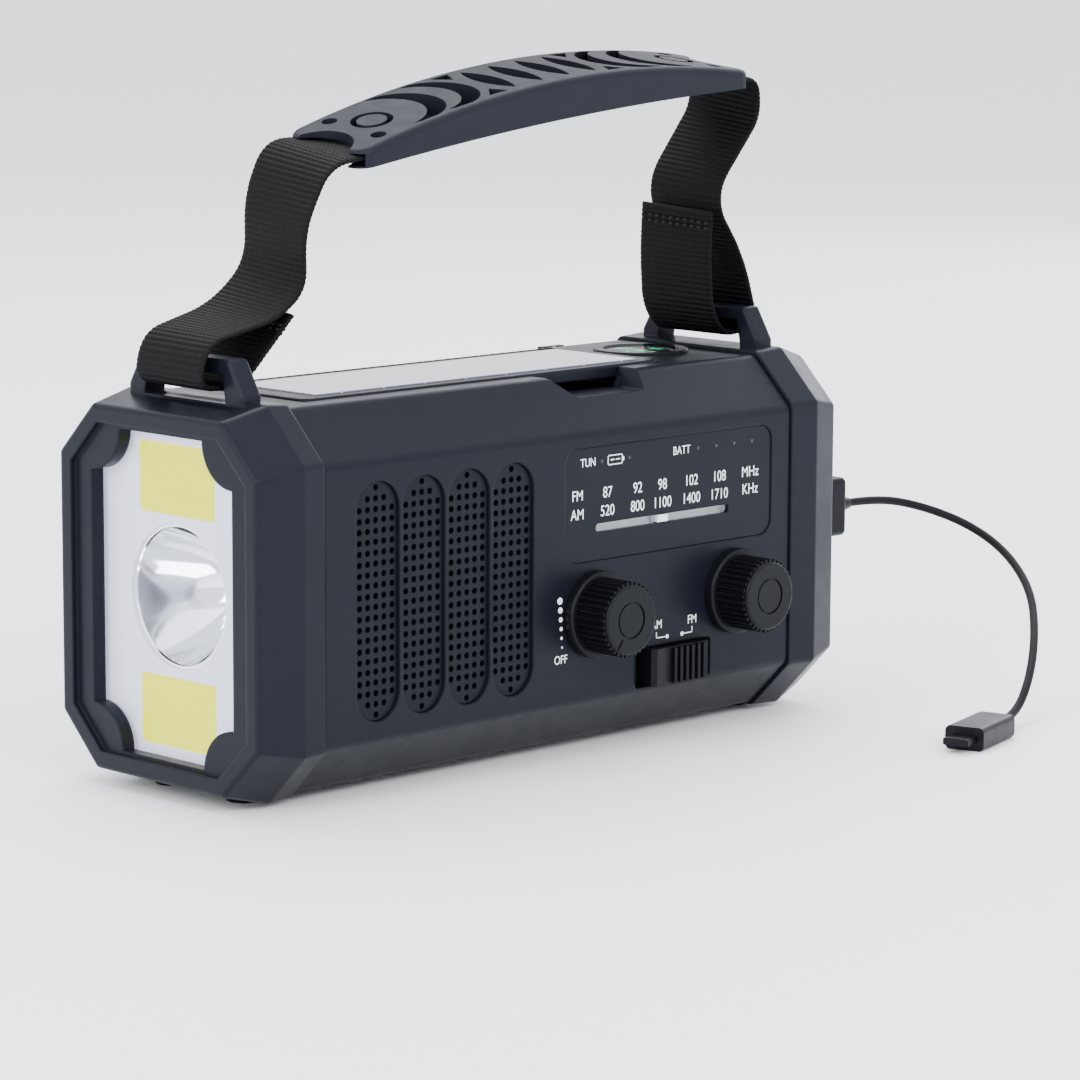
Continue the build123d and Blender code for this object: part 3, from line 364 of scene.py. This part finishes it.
STATIONS = [13.4, 24.0, 32.8, 43.2, 53.4]
FM_MARKS = ("87", "92", "98", "102", "108")
AM_MARKS = ("520", "800", "1100", "1400", "1710")
for x, fm, am in zip(STATIONS, FM_MARKS, AM_MARKS):
    label(f"scale_fm_{fm}", fm, x, 65.4, 2.7)
    label(f"scale_am_{am}", am, x, 60.9, 2.7)
label("scale_name_fm", "FM", 3.0, 65.4, 2.6)
label("scale_name_am", "AM", 3.0, 60.8, 2.6)
label("scale_unit_mhz", "MHz", 64.8, 65.5, 2.7)
label("scale_unit_khz", "KHz", 64.8, 61.1, 2.7)
label("label_tune", "TUN", 6.6, 73.3, 2.1)
label("label_charge", "BATT", 39.6, 73.3, 2.1)
printed("indicator_marks",
        [(13.4, 74.3, 18.6, 74.55), (13.4, 72.05, 18.6, 72.3),
         (13.4, 72.05, 13.65, 74.55), (18.35, 72.05, 18.6, 74.55),
         (18.6, 72.8, 19.1, 73.8), (14.4, 73.2, 15.6, 73.5), (16.2, 73.2, 17.6, 73.5)],
        [])
printed("indicator_lamps", [], [(x, 73.3, 0.42) for x in (11.4, 21.0, 45.6, 52.2, 58.8, 65.4)], material=INNER)

label("label_off", "OFF", -2.8, 25.9, 2.1, y=FRONT_Y)
label("label_am", "AM", 30.8, 30.4, 2.2, y=FRONT_Y)
label("label_fm", "FM", 43.6, 30.3, 2.2, y=FRONT_Y)
printed("volume_dots", [],
        [(-2.4 - 0.16 * i, 29.0 + 2.3 * i, 0.26 + 0.12 * i) for i in range(6)], y=FRONT_Y)
printed("band_marks",
        [(30.6, 27.0, 34.0, 27.25), (30.6, 27.0, 30.85, 28.6),
         (40.6, 27.0, 43.7, 27.25), (43.45, 27.0, 43.7, 28.6)],
        [(34.6, 27.1, 0.55), (40.0, 27.1, 0.55)], y=FRONT_Y)


# ------------------------------------------------------------------ compass card
def compass_print():
    z = COMPASS_PRINT_Z
    vertices, faces = [], []
    for i in range(36):
        angle = math.radians(10 * i)
        inner, outer = (7.0 if i % 9 == 0 else 8.0), 8.9
        direction = Vector((math.cos(angle), math.sin(angle), 0))
        side = Vector((-direction.y, direction.x, 0)) * 0.14
        centre = Vector((*COMPASS, z))
        corners = [centre + direction * r + side * s
                   for r, s in ((inner, -1), (outer, -1), (outer, 1), (inner, 1))]
        start = len(vertices)
        vertices.extend(tuple(c) for c in corners)
        faces.append((start, start + 1, start + 2, start + 3))
    mesh_piece("compass_ticks", vertices, faces, PRINT, "compass")
    needle_v, needle_f = [], []
    for side in (1, -1):
        start = len(needle_v)
        needle_v += [(COMPASS[0] - 0.9, COMPASS[1], z), (COMPASS[0] + 0.9, COMPASS[1], z),
                     (COMPASS[0], COMPASS[1] + side * 4.4, z)]
        needle_f.append((start, start + 1, start + 2))
    mesh_piece("compass_needle", needle_v, needle_f, GLOWING_GREEN_PRINT, "compass")
    for letter, dx, dy in (("N", 0, 5.9), ("E", 5.9, 0), ("S", 0, -5.9), ("W", -5.9, 0)):
        curve = bpy.data.curves.new(f"compass_{letter}", "FONT")
        curve.body = letter
        curve.size = 5.4 * MM
        curve.extrude = 0.01 * MM
        curve.align_x, curve.align_y = "CENTER", "CENTER"
        curve.materials.append(GLOWING_GREEN_PRINT if letter in "NEW" else PRINT)
        obj = link(bpy.data.objects.new(f"compass_{letter}", curve))
        obj.location = mm(COMPASS[0] + dx, COMPASS[1] + dy, z)
        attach(obj, "compass")


compass_print()


# ------------------------------------------------------------------ reflector
def reflector_skin():
    """Polished coating on the inside of the reflector bowl, just clear of its wall."""
    depth, throat, rim, sides, steps = 19.0, 3.2, 16.35, 120, 40
    vertices, faces = [], []
    for i in range(steps + 1):
        radius = rim - (rim - throat - 0.05) * i / steps
        x = REFLECTOR_MOUTH_X + depth * (rim ** 2 - radius ** 2) / (rim ** 2 - throat ** 2)
        for j in range(sides):
            angle = 2 * math.pi * j / sides
            vertices.append((x, radius * math.cos(angle), LAMP_Z + radius * math.sin(angle)))
    for i in range(steps):
        for j in range(sides):
            a, b = i * sides + j, i * sides + (j + 1) % sides
            faces.append((a, b, b + sides, a + sides))
    mesh_piece("reflector_coating", vertices, faces, MIRROR, "radio", smooth=True)


reflector_skin()


# ------------------------------------------------------------------ webbing straps
LEFT_FRONT_EDGE = [(-41.0, 148.4), (-55.5, 147.0), (-63.6, 132.0), (-63.2, 118.4), (-72.0, 112.0),
                   (-93.0, 107.8), (-96.0, 97.7), (-83.0, 97.2), (-67.2, 112.6)]
LEFT_REAR_EDGE = [(-41.0, 151.6), (-54.5, 151.4), (-60.6, 139.0), (-60.4, 123.0), (-72.0, 113.6),
                  (-92.0, 108.4), (-95.0, 97.7), (-83.0, 97.2), (-66.4, 113.8)]
RIGHT_FRONT_EDGE = [(83.0, 161.7), (92.4, 162.4), (93.0, 152.6), (75.6, 132.6), (87.4, 117.0),
                    (93.4, 98.2), (80.6, 97.2), (75.8, 104.0), (74.8, 117.0), (75.3, 129.0)]
RIGHT_REAR_EDGE = [(83.0, 165.2), (92.6, 165.9), (93.4, 155.4), (75.8, 134.0), (87.4, 117.0),
                   (93.4, 98.2), (80.6, 97.2), (75.8, 104.0), (74.8, 117.0), (75.5, 130.4)]


def rounded_line(points, steps=14):
    """Points of a polyline in X and Z whose corners are arcs as wide as their two runs allow."""
    line = [Vector(points[0])]
    for before, at, after in zip(points, points[1:], points[2:]):
        before, at, after = Vector(before), Vector(at), Vector(after)
        run_in, run_out = at - before, after - at
        reach = 0.45 * min(run_in.length, run_out.length)
        start, end = at - run_in.normalized() * reach, at + run_out.normalized() * reach
        for i in range(steps + 1):
            t = i / steps
            line.append(start * (1 - t) ** 2 + at * 2 * t * (1 - t) + end * t * t)
    line.append(Vector(points[-1]))
    return line


def resample(line, count):
    lengths = [0.0]
    for a, b in zip(line, line[1:]):
        lengths.append(lengths[-1] + (b - a).length)
    result, j = [], 0
    for i in range(count):
        target = lengths[-1] * i / (count - 1)
        while j < len(lengths) - 2 and lengths[j + 1] < target:
            j += 1
        span = max(lengths[j + 1] - lengths[j], 1e-9)
        result.append(line[j].lerp(line[j + 1], (target - lengths[j]) / span))
    return result, lengths[-1]


def stitch_row(middle, row, columns, vertices, faces):
    """Adds one row of raised stitches across both faces of the strap."""
    tangent = middle[row + 1][0] - middle[row - 1][0]
    normal = Vector((-tangent.y, tangent.x)).normalized()
    along = tangent.normalized()
    for column in range(1, columns, 2):
        y = STRAP_WIDTH * (column / columns - 0.5)
        place = middle[row][column * (len(middle[row]) - 1) // columns]
        for side in (1, -1):
            start = len(vertices)
            for dy in (-0.55, 0.55):
                for step, lift in ((-0.3, 0.6), (-0.3, 0.95), (0.3, 0.95), (0.3, 0.6)):
                    x = place.x + along.x * step + normal.x * lift * side
                    z = place.y + along.y * step + normal.y * lift * side
                    vertices.append((x, y + dy, z))
            for quad in ((0, 1, 2, 3), (4, 7, 6, 5), (0, 4, 5, 1), (1, 5, 6, 2), (2, 6, 7, 3), (3, 7, 4, 0)):
                faces.append(tuple(start + i for i in quad))


def webbing(name, front_edge, rear_edge, node, seam):
    """Ribbed strap: straight ribs across it, crossed by shallow warp columns."""
    pitch, columns, per_rib, per_column = 1.35, 20, 6, 3
    _, length = resample(rounded_line(front_edge), 10)
    rows = int(length / pitch * per_rib)
    front, _ = resample(rounded_line(front_edge), rows)
    rear, _ = resample(rounded_line(rear_edge), rows)
    across = columns * per_column
    middle = []
    for f, r in zip(front, rear):
        middle.append([Vector((*f.lerp(r, j / across), 0)) for j in range(across + 1)])
    vertices, faces = [], []
    half_width = STRAP_WIDTH / 2
    for side in (1, -1):
        for i in range(rows):
            a, b = max(i - 1, 0), min(i + 1, rows - 1)
            tangent = (front[b] + rear[b]) - (front[a] + rear[a])
            normal = Vector((-tangent.y, tangent.x)).normalized()
            rib = abs(math.sin(math.pi * length * i / (rows - 1) / pitch)) ** 0.7
            for j in range(across + 1):
                groove = abs(math.sin(math.pi * j / per_column))
                edge = min(j, across - j) / across
                rounding = 1.0 if edge > 0.04 else math.sqrt(max(edge / 0.04, 0.0)) * 0.75 + 0.25
                height = (STRAP_THICKNESS / 2 - 0.42 + 0.38 * rib + 0.09 * groove) * rounding
                base = middle[i][j]
                wander = 0.10 * math.sin(i * 1.3 + side) if j in (0, across) else 0.0
                y = -half_width + STRAP_WIDTH * j / across + (wander if j == 0 else -wander)
                vertices.append((base.x + normal.x * height * side, y, base.y + normal.y * height * side))
    width = across + 1
    layer = rows * width
    for side in range(2):
        for i in range(rows - 1):
            for j in range(across):
                s = side * layer + i * width + j
                faces.append((s, s + 1, s + width + 1, s + width))
    for i in range(rows - 1):
        for j in (0, across):
            s = i * width + j
            faces.append((s, s + width, s + width + layer, s + layer))
    for i in (0, rows - 1):
        for j in range(across):
            s = i * width + j
            faces.append((s, s + 1, s + 1 + layer, s + layer))
    woven = len(faces)
    for row in (int(seam * rows), int(seam * rows) + per_rib):
        stitch_row(middle, row, columns, vertices, faces)
    strap = mesh_piece(name, vertices, faces, WEBBING, None, smooth=True)
    strap.data.materials.append(THREAD)
    strap.data.polygons.foreach_set("material_index", [0] * woven + [1] * (len(faces) - woven))
    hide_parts(node)
    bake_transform(strap)
    return strap


webbing("webbing_left", LEFT_FRONT_EDGE, LEFT_REAR_EDGE, "strap_left", 0.955)
webbing("webbing_right", RIGHT_FRONT_EDGE, RIGHT_REAR_EDGE, "strap_right", 0.965)


# ------------------------------------------------------------------ charging cable
CABLE_ROUTE = [
    (125.6, -16.0, 49.0), (137.0, -16.0, 49.0), (150.0, -19.0, 46.5), (159.5, -29.0, 41.6),
    (160.0, -42.5, 35.4), (153.0, -57.0, 27.4), (139.5, -69.5, 18.8), (125.0, -79.5, 10.2),
    (113.5, -84.2, 3.0), (104.4, -86.9, 3.0),
]
curve = bpy.data.curves.new("charging_cable", "CURVE")
curve.dimensions = "3D"
spline = curve.splines.new("NURBS")
spline.points.add(len(CABLE_ROUTE) - 1)
for point, place in zip(spline.points, CABLE_ROUTE):
    point.co = (*mm(*place), 1)
spline.order_u = 3
spline.use_endpoint_u = True
spline.resolution_u = 12
curve.resolution_u = 12
curve.bevel_depth = CABLE_DIAMETER / 2 * MM
curve.bevel_resolution = 6
curve.use_fill_caps = True
curve.materials.append(RUBBER)
cable = link(bpy.data.objects.new("charging_cable", curve))
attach(cable, "radio")
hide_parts("usb_cable")

# ------------------------------------------------------------------ floor, light and camera
bpy.ops.mesh.primitive_plane_add(size=30)
floor = bpy.context.object
floor.name = "studio_floor"
floor_material, _, floor_shader = new_material("studio_floor")
floor_shader.inputs["Base Color"].default_value = (0.94, 0.945, 0.96, 1)
floor_shader.inputs["Roughness"].default_value = 0.6
floor.data.materials.append(floor_material)

world = bpy.data.worlds.new("studio")
bpy.context.scene.world = world
world.use_nodes = True
background = world.node_tree.nodes["Background"]
background.inputs["Color"].default_value = (0.93, 0.95, 1.0, 1)
background.inputs["Strength"].default_value = 2.1


def softbox(name, place, target, size, watts, colour=(1, 1, 1)):
    lamp = bpy.data.lights.new(name, "AREA")
    lamp.shape = "RECTANGLE"
    lamp.size, lamp.size_y = size
    lamp.energy = watts
    lamp.color = colour
    obj = link(bpy.data.objects.new(name, lamp))
    obj.location = place
    obj.rotation_euler = (Vector(target) - Vector(place)).to_track_quat("-Z", "Y").to_euler()


softbox("key_softbox", (-0.25, -1.3, 0.95), (0, 0, 0.06), (0.9, 0.7), 16)
softbox("fill_softbox", (-1.4, -0.2, 0.7), (0, 0, 0.06), (0.8, 0.8), 20)
softbox("top_softbox", (0.3, 0.5, 1.4), (0, 0, 0.1), (1.2, 0.9), 20)
softbox("rim_softbox", (1.3, 0.5, 0.6), (0, 0, 0.06), (0.6, 0.8), 6, (0.85, 0.88, 1.0))

camera_data = bpy.data.cameras.new("photo_camera")
camera_data.sensor_width = 36.0
camera_data.lens = 138.8
camera_data.clip_start = 0.01
camera_data.dof.use_dof = False
camera = link(bpy.data.objects.new("photo_camera", camera_data))
RIGHT = Vector((0.7109, -0.7033, 0.0045))
UP = Vector((0.1084, 0.116, 0.9873))
FORWARD = Vector((0.6949, 0.7014, -0.1587))
turn = Matrix((RIGHT, UP, -FORWARD)).transposed()
camera.matrix_world = Matrix.Translation((-0.7054, -0.7384, 0.2151)) @ turn.to_4x4()
bpy.context.scene.camera = camera
